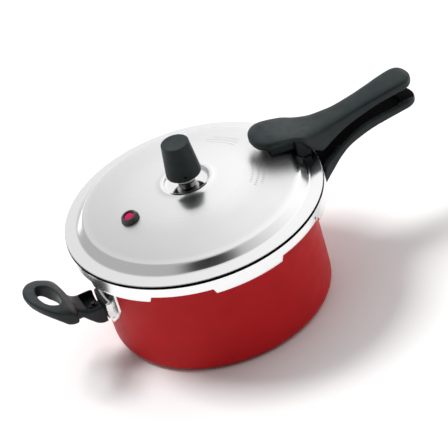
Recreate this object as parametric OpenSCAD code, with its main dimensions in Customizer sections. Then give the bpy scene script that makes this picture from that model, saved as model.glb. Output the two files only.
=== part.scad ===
// Stovetop pressure cooker of the outer-lid, bayonet kind.
// Origin: centre of the pan's underside. +Z is up and +X runs along the long handles.
// All sizes are in millimetres.

/* [Pan] */
// Outside diameter of the pan's wall
pan_d = 208; // [200:1:210]
// Thickness of the pan's wall
pan_wall_t = 2.8; // [2:0.1:3.2]
// Thickness of the pan's base
pan_base_t = 4; // [3:0.5:6]
// Outside radius of the corner between wall and base
pan_corner_r = 9; // [5:1:14]
// Height of the rim that the gasket sits on
rim_z = 105; // [105:1:105]

/* [Lid] */
// Outside diameter of the lid's skirt
lid_d = 240; // [240:1:244]
// Thickness of the lid's sheet
lid_t = 2; // [1.5:0.1:2.2]
// Height of the flange's outer edge
flange_z = 113; // [113:1:113]
// Rise of the dome's crown above the flange's outer edge, if it had no recess
crown_rise = 25.7; // [24:0.1:27]
// Radius of the recess round the vent
recess_r = 22.7; // [20:0.1:26]
// Depth of that recess
recess_depth = 3; // [2:0.5:4]

/* [Bayonet] */
// Number of bayonet lugs
lug_count = 6; // [6:1:6]
// Arc of each lug on the pan, and of each tab on the lid, in degrees
lug_arc = 26; // [22:1:27]
// Arc of each long stretch of the skirt, in degrees
skirt_arc = 32; // [28:1:33]
// Height of the skirt's edge on its long stretches
skirt_long_z = 96; // [95:0.5:97]
// Height of the skirt's edge on its short stretches
skirt_short_z = 101; // [99:0.5:101]

/* [Long handles] */
// Distance from the axis to the end of the pan's long handle
pan_handle_x = 228; // [224:1:232]
// Distance from the axis to the end of the lid's long handle
lid_handle_x = 228; // [224:1:232]
// Half of the grip's width
grip_half_w = 14.5; // [13:0.5:16]

/* [Helper handle] */
// Distance from the axis to the outer end of the helper handle
helper_x = 174; // [170:1:178]
// Width of the finger hole
finger_w = 35; // [31:1:37]

/* [Weight valve] */
// Diameter of the weight's cap at its lower edge
cap_low_d = 32; // [30:1:34]
// Diameter of the weight's cap at its top
cap_top_d = 25.4; // [24:0.2:27]
// Height of the cap's lower edge
cap_z = 143; // [142:0.5:144]
// Height of the cap itself
cap_h = 35.6; // [33:0.1:37]

/* [Pressure indicator] */
// Distance of the indicator from the lid's axis
indicator_r = 62.5; // [58:0.5:66]
// Bearing of the indicator, in degrees from the long handles
indicator_bearing = -170; // [-175:1:-160]
// Diameter of the collar's foot
collar_d = 17; // [15:0.5:18]
// How far the red pin rises under pressure
indicator_travel = 3; // [2:0.5:3]

/* [Hidden] */
$fn = 96;

black = [0.17, 0.19, 0.20];
bright = [0.86, 0.87, 0.88];
steel = [0.66, 0.67, 0.69];
brass = [0.78, 0.64, 0.34];
red = [0.66, 0.11, 0.12];
rubber = [0.22, 0.22, 0.23];
silicone = [0.72, 0.30, 0.28];

seat_gap = 0.05;                       // between two pieces that touch and don't move
pan_r = pan_d / 2;
pan_bore_r = pan_r - pan_wall_t;
lid_r = lid_d / 2;
lug_pitch = 360 / lug_count;
crown_z = flange_z + crown_rise;
dome_k = 0.0017;                       // the dome falls by this times the radius squared
shoulder_r = 99;                       // radius at which the dome turns down
wall_foot_r = 108;                     // foot of the dome's wall
wall_foot_z = flange_z + 1.8;
edge_r = 2;                            // rounding of the flange's outer edge
rim_out_r = 109;                       // outside of the pan's sealing rim
lug_out_r = 115.5;                     // outside of the pan's lugs
lug_low_z = 98.4;
lug_top_z = 104;
tab_in_r = 110;                        // inside of the lid's tabs
tab_low_z = skirt_long_z + 0.3;
tab_top_z = skirt_long_z + 2;
rivet_r = 2;

// Points on an arc about (cx, cy), from angle a to angle b in n steps.
function arc(cx, cy, r, a, b, n) =
    [for (i = [0:n]) [cx + r * cos(a + (b - a) * i / n), cy + r * sin(a + (b - a) * i / n)]];

// Height of the dome's outer surface at radius r, inside the shoulder.
function dome_z(r) = crown_z - dome_k * r * r;

// Half-profile of the lid's top surface, moved inwards by t along its slope.
function dome_line(t) = [for (i = [0:10]) let (r = recess_r + (shoulder_r - recess_r) * i / 10)
    [r - t * 2 * dome_k * r, dome_z(r) - t]];

// A ring sector about +Z whose half-section has the given width and height.
module sector(r, z, w, h, from, arc_deg) {
    rotate([0, 0, from])
        rotate_extrude(angle = arc_deg)
            translate([r, z])
                square([w, h]);
}

// A bar standing along +Z.
module rod(r, z0, z1) {
    translate([0, 0, z0])
        cylinder(r = r, h = z1 - z0);
}

// A hexagon bar along +Z, given by its size across the flats.
module hex(flats, z0, z1) {
    translate([0, 0, z0])
        cylinder(r = flats / sqrt(3), h = z1 - z0, $fn = 6);
}

// A screw along +Z: a low round head below, and a plain shank.
module screw(head_r, head_h, shank_r, length) {
    rod(head_r, 0, head_h);
    rod(shank_r, head_h / 2, length);
}

// A rivet through the pan's wall, at a bearing and a height.
module wall_rivet(bearing, z, plate_t) {
    rotate([0, 0, bearing])
        translate([0, 0, z])
            rotate([0, 90, 0]) {
                rod(rivet_r * 2, pan_bore_r - 1.4, pan_bore_r - 0.3);
                rod(rivet_r - seat_gap, pan_bore_r - 1, pan_r + plate_t + 1);
                rod(rivet_r * 1.8, pan_r + plate_t + 0.3, pan_r + plate_t + 1.4);
            }
}

// The hole that such a rivet fills.
module wall_hole(bearing, z) {
    rotate([0, 0, bearing])
        translate([pan_bore_r - 4, 0, z])
            rotate([0, 90, 0])
                cylinder(r = rivet_r, h = 14);
}

// ---------------------------------------------------------------- pan
pan_plate_t = 2;
pan_rivet_bearings = [-8, 8];
pan_rivet_z = 74;
helper_rivet_bearings = [172.5, 187.5];
helper_rivet_z = 70;

module pan() {
    color(red)
        difference() {
            union() {
                rotate_extrude($fn = 180)
                    polygon(concat(
                        [[0, 0]],
                        arc(pan_r - pan_corner_r, pan_corner_r, pan_corner_r, -90, 0, 8),
                        [[pan_r, rim_z - 6], [rim_out_r, rim_z - 3.5], [rim_out_r, rim_z],
                         [pan_bore_r, rim_z]],
                        arc(pan_bore_r - 6, pan_base_t + 6, 6, 0, -90, 6),
                        [[0, pan_base_t]]));
                for (i = [0:lug_count - 1])
                    sector(pan_r - 1, lug_low_z, lug_out_r - pan_r + 1, lug_top_z - lug_low_z,
                           (i + 0.5) * lug_pitch - lug_arc / 2, lug_arc);
            }
            for (b = pan_rivet_bearings)
                wall_hole(b, pan_rivet_z);
            for (b = helper_rivet_bearings)
                wall_hole(b, helper_rivet_z);
        }
}

// ---------------------------------------------------------------- pan's long handle
strap_tilt = 22;                       // the strap climbs at this angle, in degrees
strap_w = 14;
strap_t = 3;
strap_screw_x = 33;                    // along the strap, from its root
strap_end_x = 48;

// The strap's own frame: x along the strap, z across its thickness.
module strap_frame() {
    translate([105, 0, 86])
        rotate([0, -strap_tilt, 0])
            children();
}

module pan_handle_bracket() {
    color(steel)
        difference() {
            union() {
                sector(pan_r + seat_gap, 66, pan_plate_t, 27, -12, 24);
                difference() {
                    strap_frame()
                        translate([0, -strap_w / 2, -strap_t / 2])
                            cube([strap_end_x, strap_w, strap_t]);
                    rod(pan_r + 1, 60, 110);
                }
            }
            for (b = pan_rivet_bearings)
                wall_hole(b, pan_rivet_z);
            strap_frame()
                translate([strap_screw_x, 0, 0])
                    rod(2.6, -4, 4);
        }
}

module pan_handle_rivets() {
    color(bright)
        for (b = pan_rivet_bearings)
            wall_rivet(b, pan_rivet_z, pan_plate_t);
}

// Side outline of the pan's long handle, as x and height.
pan_handle_side = concat(
    [[104, 95], [121.6, 95], [122.4, 99.5], [136, 105.4], [149, 110.6], [170, 117.4], [188, 119.6],
     [pan_handle_x - 12, 121.4]],
    arc(pan_handle_x - 5, 117, 4.6, 80, -80, 6),
    [[195, 110.4], [173, 106.7], [151, 100.8], [139, 94], [131, 88], [122, 82], [112, 78.5], [104, 77]]);

// Half outline of the pan's long handle seen from above, as x and half-width.
pan_handle_half_w = [[100, 30], [108, 28.6], [118, 23.4], [130, 18.8], [142, 16.5], [156, grip_half_w - 1],
    [175, grip_half_w - 1.5], [200, grip_half_w], [216, grip_half_w + 0.5]];

// A closed outline mirrored about the x axis from its upper half, with a round end.
function both_sides(half, end_x) = concat(
    half,
    arc(end_x - last(half)[1], 0, last(half)[1], 75, -75, 8),
    [for (i = [len(half) - 1:-1:0]) [half[i][0], -half[i][1]]]);
function last(list) = list[len(list) - 1];

// The solid that has one outline from the side and another from above.
module two_way(side, above) {
    intersection() {
        translate([0, 40, 0])
            rotate([90, 0, 0])
                linear_extrude(80)
                    polygon(side);
        linear_extrude(200)
            polygon(above);
    }
}

module pan_handle() {
    color(black)
        difference() {
            two_way(pan_handle_side, both_sides(pan_handle_half_w, pan_handle_x));
            rod(pan_r + 0.4, 60, 100);
            sector(pan_r, 65, pan_plate_t + 1.9, 29, -13, 26);
            strap_frame() {
                translate([-6, -strap_w / 2 - 0.3, -strap_t / 2 - 0.3])
                    cube([strap_end_x + 8, strap_w + 0.6, strap_t + 0.6]);
                translate([strap_screw_x, 0, 0]) {
                    rod(2.6, -20, 8);
                    rod(5.2, -20, -4.6);
                    hex(8.4, 1, 5.4);
                }
            }
        }
}

module pan_handle_screw() {
    color(steel)
        strap_frame()
            translate([strap_screw_x, 0, -7.4])
                screw(4.6, 2, 2.5, 13);
}

module pan_handle_washer() {
    color(steel)
        strap_frame()
            translate([strap_screw_x, 0, 0])
                difference() {
                    rod(4.9, -5.35, -4.65);
                    rod(2.6, -6, -4);
                }
}

module pan_handle_nut() {
    color(steel)
        strap_frame()
            translate([strap_screw_x, 0, 0])
                difference() {
                    hex(8, strap_t / 2 + 0.05, strap_t / 2 + 3.4);
                    rod(2.55, 1, 6);
                }
}

// ---------------------------------------------------------------- helper handle
helper_plate_t = 1.5;
helper_tab_x = 124;                    // outer end of the bracket's tab
helper_tab_z = 51;                     // underside of that tab
helper_screw_x = 117;
helper_pad_r = pan_r + 6.6;            // outside of the pad that stands off the wall
helper_pad_z = 45;                     // underside of that pad

// Shield outline of the helper's bracket plate, as y and height.
shield = [[-28, 86], [28, 86], [28, 56], [5, 32], [-5, 32], [-28, 56]];

module helper_bracket() {
    color(bright)
        difference() {
            union() {
                intersection() {
                    sector(pan_r + seat_gap, 30, helper_plate_t, 58, 160, 40);
                    translate([-pan_r - 10, 0, 0])
                        rotate([90, 0, 90])
                            linear_extrude(40)
                                polygon(shield);
                }
                sector(pan_r + 1, helper_pad_z, helper_pad_r - pan_r - 1, 17, 171, 18);
                difference() {
                    translate([-helper_tab_x, -8, helper_tab_z])
                        cube([helper_tab_x - pan_r + 2, 16, 2.5]);
                    rod(pan_r + 0.8, 40, 70);
                }
            }
            for (b = helper_rivet_bearings)
                wall_hole(b, helper_rivet_z);
            translate([-helper_screw_x, 0, 0])
                rod(2.1, helper_tab_z - 1, helper_tab_z + 4);
        }
}

module helper_rivets() {
    color(bright)
        for (b = helper_rivet_bearings)
            wall_rivet(b, helper_rivet_z, helper_plate_t);
}

helper_inner_x = 111.2;                // the housing's end, which meets the bracket's pad

// Side outline of the helper handle, as distance outwards and height.
helper_side = concat(
    [[helper_inner_x, 60], [114, 64], [122, 64], [130, 66], [137, 75], [143, 82], [helper_x - 3, 97]],
    arc(helper_x - 3, 93.1, 3, 65, -65, 4),
    [[152, 78.5], [147.5, 73], [144, 66], [139, 61.6], [134, 60.4], [129, 59], [126, 52], [120, 45.2],
     [114, 43], [helper_inner_x, 43]]);

// Half outline of the helper handle seen from above.
helper_half_w = [[100, 17], [118, 17], [128, 15.2], [135, 15], [139, 19.5], [141.5, 26.5],
    [145.5, 31.2], [153, 30.4], [161, 24.6], [168, 16.8], [helper_x, 7.5]];

helper_loop_x = 153;                   // centre of the finger hole
finger_reach = 19;                     // its size along the handle

// The finger hole: a slot with round ends across the handle.
module finger_hole() {
    translate([helper_loop_x, 0, 0])
        for (side = [-1, 1])
            translate([0, side * (finger_w - finger_reach) / 2, 0])
                rod(finger_reach / 2, 60, 110);
    translate([helper_loop_x - finger_reach / 2, -(finger_w - finger_reach) / 2, 60])
        cube([finger_reach, finger_w - finger_reach, 50]);
}

module helper_handle() {
    color(black)
        rotate([0, 0, 180])
            difference() {
                intersection() {
                    translate([0, 40, 0])
                        rotate([90, 0, 0])
                            linear_extrude(80)
                                polygon(helper_side);
                    linear_extrude(120)
                        polygon(concat(helper_half_w,
                            [for (i = [len(helper_half_w) - 1:-1:0])
                                [helper_half_w[i][0], -helper_half_w[i][1]]]));
                }
                rod(helper_pad_r + 0.3, 30, 100);
                // hollow of the housing, open towards the wall and upwards
                translate([100, -13.6, 53.8])
                    cube([25.5, 27.2, 20]);
                translate([100, -8.4, helper_tab_z - 0.3])
                    cube([25, 16.8, 6]);
                translate([helper_screw_x, 0, 0]) {
                    rod(2.1, 38, 56);
                    rod(4.4, 38, 44.6);
                }
                finger_hole();
            }
}

module helper_screw() {
    color(steel)
        translate([-helper_screw_x, 0, 42.4])
            screw(4, 2, 2, 17);
}

module helper_nut() {
    color(steel)
        translate([-helper_screw_x, 0, 0])
            difference() {
                hex(7, helper_tab_z + 2.55, helper_tab_z + 5.8);
                rod(2.05, helper_tab_z, helper_tab_z + 8);
            }
}

// ---------------------------------------------------------------- lid
lid_rivet_xs = [84, 95];
vent_hole_r = 5;
recess_floor_z = dome_z(recess_r) - recess_depth;
slot_from = -23;                       // bearings of the gasket-release slot
slot_arc = 13;
stop_bearing = -48.5;
stop_z = 103.2;
stop_r = 1.4;

// The indicator's own frame: z square to the dome, with its zero on the dome's surface.
indicator_tilt = atan(2 * dome_k * indicator_r);
module indicator_frame() {
    rotate([0, 0, indicator_bearing])
        translate([indicator_r, 0, dome_z(indicator_r)])
            rotate([0, indicator_tilt, 0])
                children();
}
indicator_hole_r = 6.1;

module lid() {
    color(bright)
        difference() {
            union() {
                rotate_extrude($fn = 180)
                    polygon(concat(
                        [[0, recess_floor_z], [recess_r - 1.5, recess_floor_z]],
                        dome_line(0),
                        arc(shoulder_r - 1.5, dome_z(shoulder_r) - 4.6, 5, 60, 20, 4),
                        [[wall_foot_r, wall_foot_z]],
                        arc(lid_r - edge_r, flange_z - edge_r, edge_r, 80, 0, 4),
                        [[lid_r, skirt_long_z], [lid_r - lid_t, skirt_long_z],
                         [lid_r - lid_t, flange_z - lid_t], [wall_foot_r - lid_t, wall_foot_z - lid_t]],
                        arc(shoulder_r - 2, dome_z(shoulder_r) - 5, 3.2, 20, 60, 3),
                        [for (i = [10:-1:0]) dome_line(lid_t)[i]],
                        [[recess_r - 1.5, recess_floor_z - lid_t], [0, recess_floor_z - lid_t]]));
                for (i = [0:lug_count - 1])
                    sector(tab_in_r, tab_low_z, lid_r - tab_in_r - 1, tab_top_z - tab_low_z,
                           (i + 0.5) * lug_pitch - lug_arc / 2, lug_arc);
            }
            // the skirt's edge steps up between its long stretches
            for (i = [0:lug_count - 1])
                sector(lid_r - lid_t - 1, skirt_long_z - 1, lid_t + 2, skirt_short_z - skirt_long_z + 1,
                       i * lug_pitch - (lug_pitch - skirt_arc) / 2, lug_pitch - skirt_arc);
            rod(vent_hole_r, 100, 160);
            indicator_frame()
                rod(indicator_hole_r, -8, 4);
            for (x = lid_rivet_xs)
                translate([x, 0, 0])
                    rod(rivet_r, 100, 140);
            sector(105.2, flange_z - 3, 2, 7.5, slot_from, slot_arc);
            rotate([0, 0, stop_bearing])
                translate([112, 0, stop_z])
                    rotate([0, 90, 0])
                        cylinder(r = stop_r, h = 12);
        }
}

module stop_rivet() {
    color(steel)
        rotate([0, 0, stop_bearing])
            translate([0, 0, stop_z])
                rotate([0, 90, 0]) {
                    rod(stop_r - seat_gap, 111.5, lid_r + 0.4);
                    rod(stop_r + 0.5, lid_r + 0.05, lid_r + 0.7);
                    rod(stop_r, 111.5, lid_r - lid_t - 0.05);
                }
}

// ---------------------------------------------------------------- lid's long handle
saddle_t = 1.5;
saddle_rs = [79, 84, 89, 94, 98];      // radii at which the saddle's section turns
web_y = 7;
plate_z = 128.6;
plate_t = 2.4;
lid_screw_x = 132;

// The space that pieces standing on the lid keep clear of.
module lid_clearance() {
    rotate([0, 0, 90])
        rotate_extrude()
            polygon([[0, 100], [0, crown_z], [79, dome_z(79) + 0.2], [98.5, dome_z(98.5) + 0.6],
                     [103, 120], [wall_foot_r, wall_foot_z + 0.5], [116, flange_z + 1], [116, 100]]);
}

module lid_handle_bracket() {
    color(steel)
        difference() {
            union() {
                // saddle that follows the dome
                rotate([0, 0, -9])
                    rotate_extrude(angle = 18)
                        polygon(concat(
                            [for (r = saddle_rs) [r, dome_z(r) + seat_gap]],
                            [for (i = [len(saddle_rs) - 1:-1:0]) [saddle_rs[i], dome_z(saddle_rs[i]) + saddle_t]]));
                for (side = [-1, 1])
                    difference() {
                        translate([81, side * web_y - 1, 112])
                            cube([31, 2, plate_z - 111]);
                        lid_clearance();
                    }
                translate([82, -web_y - 1, plate_z])
                    cube([64, 2 * web_y + 2, plate_t]);
            }
            for (x = lid_rivet_xs)
                translate([x, 0, 0]) {
                    rod(rivet_r, 100, 140);
                    rod(4.4, plate_z - 1, 140);
                }
            translate([lid_screw_x, 0, 0])
                rod(2.6, 120, 140);
        }
}

module lid_handle_rivets() {
    color(bright)
        for (x = lid_rivet_xs)
            translate([x, 0, dome_z(x)]) {
                rod(rivet_r - seat_gap, -3.6, 3.1);
                rod(rivet_r * 1.9, 2.9, 3.9);
                rod(rivet_r * 1.9, -4.7, -3.6);
            }
}

// Side outline of the lid's long handle.
lid_handle_side = concat(
    [[67, 141.5], [69.5, 146], [78, 148], [92, 145.4], [105, 141], [118, 137], [133, 134.6],
     [150, 134.6], [168, 136.6], [188, 139.2], [206, 142], [lid_handle_x - 10, 143]],
    arc(lid_handle_x - 5.8, 137.6, 5.8, 70, -70, 6),
    [[209, 132], [190, 130], [171, 125.6], [152, 120.8], [138, 115.6], [122.8, 108.4], [121, 114.2], [114, 118.5],
     [110, 129], [104, 137], [68, 139.2]]);

// Half outline of the lid's long handle seen from above.
lid_handle_half_w = concat(
    [[66.5, 0], [67, 7], [69, 12], [72.5, 15.8], [78, 18.8], [85, 20.8]],
    [[95, 21.8], [104, 22.4], [112, 21.8], [120, 19.4], [134, 15.8], [150, 13.2], [170, 12.4],
     [190, 13.4], [206, grip_half_w], [213, grip_half_w]]);

// Side outline of the handle's foot, which stands on the dome's shoulder.
foot_side = [[102, 138], [102, 119], [104.5, 114], [111.4, 114], [114.5, 122], [118, 132], [118, 138]];
foot_half_w = 15.6;

module lid_handle() {
    color(black)
        difference() {
            union() {
                two_way(lid_handle_side, both_sides(lid_handle_half_w, lid_handle_x));
                difference() {
                    two_way(foot_side, [[90, foot_half_w], [90, -foot_half_w], [120, -foot_half_w],
                                        [120, foot_half_w]]);
                    lid_clearance();
                }
            }
            // pocket for the bracket
            translate([76, -web_y - 1.3, 112])
                cube([37, 2 * web_y + 2.6, plate_z + plate_t - 111.7]);
            translate([80, -web_y - 1.3, plate_z - 0.3])
                cube([66.5, 2 * web_y + 2.6, plate_t + 0.6]);
            translate([lid_screw_x, 0, 0]) {
                rod(2.6, 100, plate_z + 1);
                rod(5.2, 100, 118.4);
                hex(8.4, plate_z + 1, plate_z + plate_t + 3);
            }
        }
}

module lid_handle_screw() {
    color(steel)
        translate([lid_screw_x, 0, 115.4])
            screw(4.6, 2.2, 2.5, 18);
}

module lid_handle_washer() {
    color(steel)
        translate([lid_screw_x, 0, 0])
            difference() {
                rod(4.9, 117.65, 118.35);
                rod(2.6, 117, 119);
            }
}

module lid_handle_nut() {
    color(steel)
        translate([lid_screw_x, 0, 0])
            difference() {
                hex(8, plate_z + plate_t + 0.05, plate_z + plate_t + 2.9);
                rod(2.55, plate_z, plate_z + 8);
            }
}

// ---------------------------------------------------------------- vent
tube_r = 4;
tube_top_z = 156;
jet_r = 1.5;

module vent_tube() {
    color(brass)
        difference() {
            union() {
                rod(vent_hole_r - seat_gap, 121, recess_floor_z + 1);
                rod(8, recess_floor_z + seat_gap, recess_floor_z + 2.2);
                rod(tube_r, recess_floor_z + 1, tube_top_z - 1);
                translate([0, 0, tube_top_z - 1])
                    cylinder(r1 = tube_r, r2 = tube_r - 1, h = 1);
            }
            rod(jet_r, 120, tube_top_z + 1);
            translate([0, 0, tube_top_z - 1])
                cylinder(r1 = jet_r, r2 = jet_r + 1.1, h = 1.1);
        }
}

module vent_seal() {
    color(rubber)
        difference() {
            rod(8.5, recess_floor_z - lid_t - 1.6, recess_floor_z - lid_t - seat_gap);
            rod(vent_hole_r + 0.02, 120, 140);
        }
}

module vent_nut() {
    color(brass)
        difference() {
            hex(17, recess_floor_z - lid_t - 6.6, recess_floor_z - lid_t - 1.65);
            rod(vent_hole_r + 0.02, 120, 140);
        }
}

// ---------------------------------------------------------------- indicator
collar_h = 5;
window_r = 5;
shank_low = -6.8;

module indicator_collar() {
    color(black)
        indicator_frame()
            difference() {
                union() {
                    rod(indicator_hole_r - seat_gap, shank_low, 0.6);
                    rod(collar_d / 2, 0.3, 1.6);
                    rotate_extrude()
                        polygon(concat(
                            [[0, 1.5], [collar_d / 2 - 0.8, 1.5]],
                            arc(collar_d / 2 - 3.8, collar_h - 3, 3, 10, 80, 5),
                            [[0, collar_h]]));
                }
                rod(window_r, 1, collar_h + 1);
                rod(2.6, shank_low - 1, 2);
            }
}

module indicator_washer() {
    color(silicone)
        indicator_frame()
            difference() {
                rod(9, -3.9, -2.4);
                rod(indicator_hole_r + 0.02, -5, 0);
            }
}

module indicator_nut() {
    color(steel)
        indicator_frame()
            difference() {
                hex(16.5, -6.6, -3.95);
                rod(indicator_hole_r + 0.02, -8, 0);
            }
}

module indicator_cap() {
    color([0.70, 0.15, 0.30])
        indicator_frame()
            difference() {
                union() {
                    rod(window_r - 0.4, 1.3, 3.4);
                    translate([0, 0, 3.4])
                        cylinder(r1 = window_r - 0.4, r2 = window_r - 0.9, h = 0.5);
                }
                rod(1.55, 1, 2.8);
            }
}

module indicator_stem() {
    color(steel)
        indicator_frame() {
            rod(1.5, 1, 2.7);
            rod(2.3, -13.4, 1.2);
        }
}

module indicator_seal() {
    color(silicone)
        indicator_frame()
            difference() {
                rod(4.2, -11.6, shank_low - indicator_travel - 0.05);
                rod(2.35, -14, 0);
            }
}

module indicator_clip() {
    color(steel)
        indicator_frame()
            rotate_extrude(angle = 300)
                translate([2.35, -12.5])
                    square([2, 0.8]);
}

// ---------------------------------------------------------------- gasket
module gasket() {
    color(rubber)
        rotate_extrude($fn = 180)
            polygon([[103, 105.3], [116.4, 105.3], [116.4, 110.7], [104, 110.7], [104, 109.2],
                     [112.6, 109.2], [113.2, 108.6], [113.2, 107.4], [112.6, 106.8], [103, 106.8]]);
}

// ---------------------------------------------------------------- weight
slug_r = 10;
socket_r = 6.4;
slug_low_z = 140;
slug_top_z = 172;
clip_z = 147;

module weight_cap() {
    color(black)
        difference() {
            union() {
                translate([0, 0, cap_z])
                    cylinder(r1 = cap_low_d / 2 - 1, r2 = cap_low_d / 2, h = 1.5);
                translate([0, 0, cap_z + 1.5])
                    cylinder(r1 = cap_low_d / 2, r2 = cap_top_d / 2, h = cap_h - 2.1);
                translate([0, 0, cap_z + cap_h - 0.6])
                    cylinder(r1 = cap_top_d / 2, r2 = cap_top_d / 2 - 0.6, h = 0.6);
            }
            rod(slug_r + seat_gap, cap_z - 1, slug_top_z + seat_gap);
            rod(13, cap_z - 1, cap_z + 9);
            rotate([0, 0, -103.6])
                translate([9, 0, 149.5])
                    rotate([0, 90, 0])
                        cylinder(r = 1.1, h = 9);
        }
}

module weight_slug() {
    color(steel)
        difference() {
            rod(slug_r, slug_low_z, slug_top_z);
            rod(socket_r, slug_low_z - 1, 157.5);
            rod(3.05, 156, 168);
        }
}

module weight_needle() {
    color(brass)
        union() {
            rod(3, 158.5, 167.9);
            translate([0, 0, 155.6])
                cylinder(r1 = 0.9, r2 = 2.9, h = 3);
        }
}

module weight_clip() {
    color(steel)
        rotate_extrude(angle = 320)
            translate([5.2, clip_z])
                circle(r = 0.8, $fn = 24);
}

pan();
pan_handle_bracket();
pan_handle_rivets();
pan_handle();
pan_handle_screw();
pan_handle_washer();
pan_handle_nut();
helper_bracket();
helper_rivets();
helper_handle();
helper_screw();
helper_nut();
lid();
lid_handle_bracket();
lid_handle_rivets();
lid_handle();
lid_handle_screw();
lid_handle_washer();
lid_handle_nut();
stop_rivet();
vent_tube();
vent_seal();
vent_nut();
indicator_collar();
indicator_washer();
indicator_nut();
gasket();
weight_cap();
weight_slug();
weight_needle();
weight_clip();
indicator_cap();
indicator_stem();
indicator_seal();
indicator_clip();
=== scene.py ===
"""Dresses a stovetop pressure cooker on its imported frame: lid, pan, handles, weight, indicator."""

import logging
import math
from dataclasses import dataclass
from enum import Enum

import bmesh
import bpy
import numpy as np
from mathutils import Matrix, Vector


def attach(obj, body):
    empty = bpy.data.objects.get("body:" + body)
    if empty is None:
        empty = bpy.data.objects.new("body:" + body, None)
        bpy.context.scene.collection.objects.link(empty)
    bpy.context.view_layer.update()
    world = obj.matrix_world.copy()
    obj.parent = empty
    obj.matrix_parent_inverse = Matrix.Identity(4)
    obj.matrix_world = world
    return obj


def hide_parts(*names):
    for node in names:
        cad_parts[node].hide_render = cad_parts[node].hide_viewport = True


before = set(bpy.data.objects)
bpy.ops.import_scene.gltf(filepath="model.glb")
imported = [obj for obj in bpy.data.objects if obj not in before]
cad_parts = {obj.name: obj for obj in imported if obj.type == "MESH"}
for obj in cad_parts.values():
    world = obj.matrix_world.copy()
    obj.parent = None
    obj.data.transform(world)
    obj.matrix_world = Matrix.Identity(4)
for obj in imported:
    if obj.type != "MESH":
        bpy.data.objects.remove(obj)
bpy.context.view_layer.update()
LOG = logging.getLogger("pressure_cooker")

MM = 0.001
LUGS = 6
LUG_PITCH = 360.0 / LUGS  # degrees from one lug to the next
DOME_TOP = 138.7
DOME_FALL = 0.0017
WALL_CUT_R = 106.2  # where the mouldings end at the pan's wall
SCREW_BORE_R = 5.3  # counterbore of the long handles' screws

Array = np.ndarray
Surface = tuple[Array, Array, Array]  # points in mm, quads, a finish number per quad
Point = tuple[float, float, float]
Colour = tuple[float, float, float]
Socket = bpy.types.NodeSocket


class Body(str, Enum):
    """The bodies that the pieces ride on."""

    PAN = "pan"
    GASKET = "gasket"
    LID = "lid"
    WEIGHT = "weight"
    INDICATOR = "indicator"


# ------------------------------------------------------------------ surfaces


def smoothstep(x: Array) -> Array:
    """3x^2 - 2x^3 with x held between 0 and 1."""
    x = np.clip(x, 0.0, 1.0)
    return x * x * (3.0 - 2.0 * x)


def window(value: Array, centre: float, half: float, edge: float) -> Array:
    """1 within half of the centre, falling smoothly to 0 over an edge width on each side."""
    return smoothstep((half + edge / 2 - np.abs(value - centre)) / edge)


def lug_window(bearing: Array, half: float, edge: float) -> Array:
    """The window, in degrees, repeated at each lug; the first is half a pitch from +X."""
    return window(np.mod(bearing, LUG_PITCH), LUG_PITCH / 2, half, edge)


def lug_edges(half: float) -> list[float]:
    """The bearings, in degrees, of both ends of an arc at every lug."""
    return [LUG_PITCH * (i + 0.5) + side for i in range(LUGS) for side in (-half, half)]


def hermite(x: Array, xs: list[float], ys: list[float]) -> Array:
    """A smooth curve through knots: cubic Hermite pieces with slopes that never overshoot.

    Args:
        x: where the curve is read.
        xs: rising knot positions.
        ys: values at the knots.

    Returns:
        The curve at x, held level beyond its ends.
    """
    k, v = np.asarray(xs, float), np.asarray(ys, float)
    h, d = np.diff(k), np.diff(v) / np.diff(k)
    inner = np.where(d[1:] * d[:-1] > 0, 2 * d[1:] * d[:-1] / (d[1:] + d[:-1] + 1e-12), 0.0)
    m = np.concatenate([[d[0]], inner, [d[-1]]])
    x = np.clip(x, k[0], k[-1])
    i = np.clip(np.searchsorted(k, x) - 1, 0, len(h) - 1)
    t = (x - k[i]) / h[i]
    return (v[i] * (2 * t**3 - 3 * t**2 + 1) + m[i] * h[i] * (t**3 - 2 * t**2 + t)
            + v[i + 1] * (3 * t**2 - 2 * t**3) + m[i + 1] * h[i] * (t**3 - t**2))


def rounded(corners: list[Point], steps: int = 6, gap: float = 4.0) -> Array:
    """A line whose corners are arcs: each corner (a, b, radius) is cut back and turned in steps.

    Args:
        corners: the line's corners with the radius of each.
        steps: points on each arc, less one.
        gap: the longest straight stretch, in millimetres.

    Returns:
        The line's points, (n, 2).
    """
    most = 0.48  # the share of a side that one corner may use
    p = np.array([c[:2] for c in corners], float)
    out = [p[0]]
    for i in range(1, len(p) - 1):
        a, b = p[i - 1] - p[i], p[i + 1] - p[i]
        la, lb = np.linalg.norm(a), np.linalg.norm(b)
        a, b = a / la, b / lb
        half = math.acos(float(np.clip(a @ b, -1, 1))) / 2
        cut = min(corners[i][2] / math.tan(half), la * most, lb * most)
        if cut < 1e-6:
            out.append(p[i])
            continue
        t = np.linspace(0, 1, steps + 1)[:, None]
        start, end = p[i] + a * cut, p[i] + b * cut
        # a quadratic curve that leaves each side along its own direction
        out.extend((1 - t) ** 2 * start + 2 * t * (1 - t) * p[i] + t**2 * end)
    out.append(p[-1])
    line = np.array(out)
    pieces = [line[:1]]
    for a, b in zip(line[:-1], line[1:]):
        n = max(1, int(np.ceil(np.linalg.norm(b - a) / gap)))
        pieces.append(a + (b - a) * (np.arange(1, n + 1) / n)[:, None])
    return np.vstack(pieces)


def quads(rows: int, cols: int, close_rows: bool, close_cols: bool) -> Array:
    """The faces of a grid of points, turning with the rows first.

    Args:
        rows: rows of points.
        cols: columns of points.
        close_rows: whether the last row joins the first.
        close_cols: whether the last column joins the first.

    Returns:
        Corner numbers, (faces, 4).
    """
    i, j = np.meshgrid(np.arange(rows if close_rows else rows - 1),
                       np.arange(cols if close_cols else cols - 1), indexing="ij")
    a, b = (i + 1) % rows, (j + 1) % cols
    return np.stack([i * cols + j, a * cols + j, a * cols + b, i * cols + b], -1).reshape(-1, 4)


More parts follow.
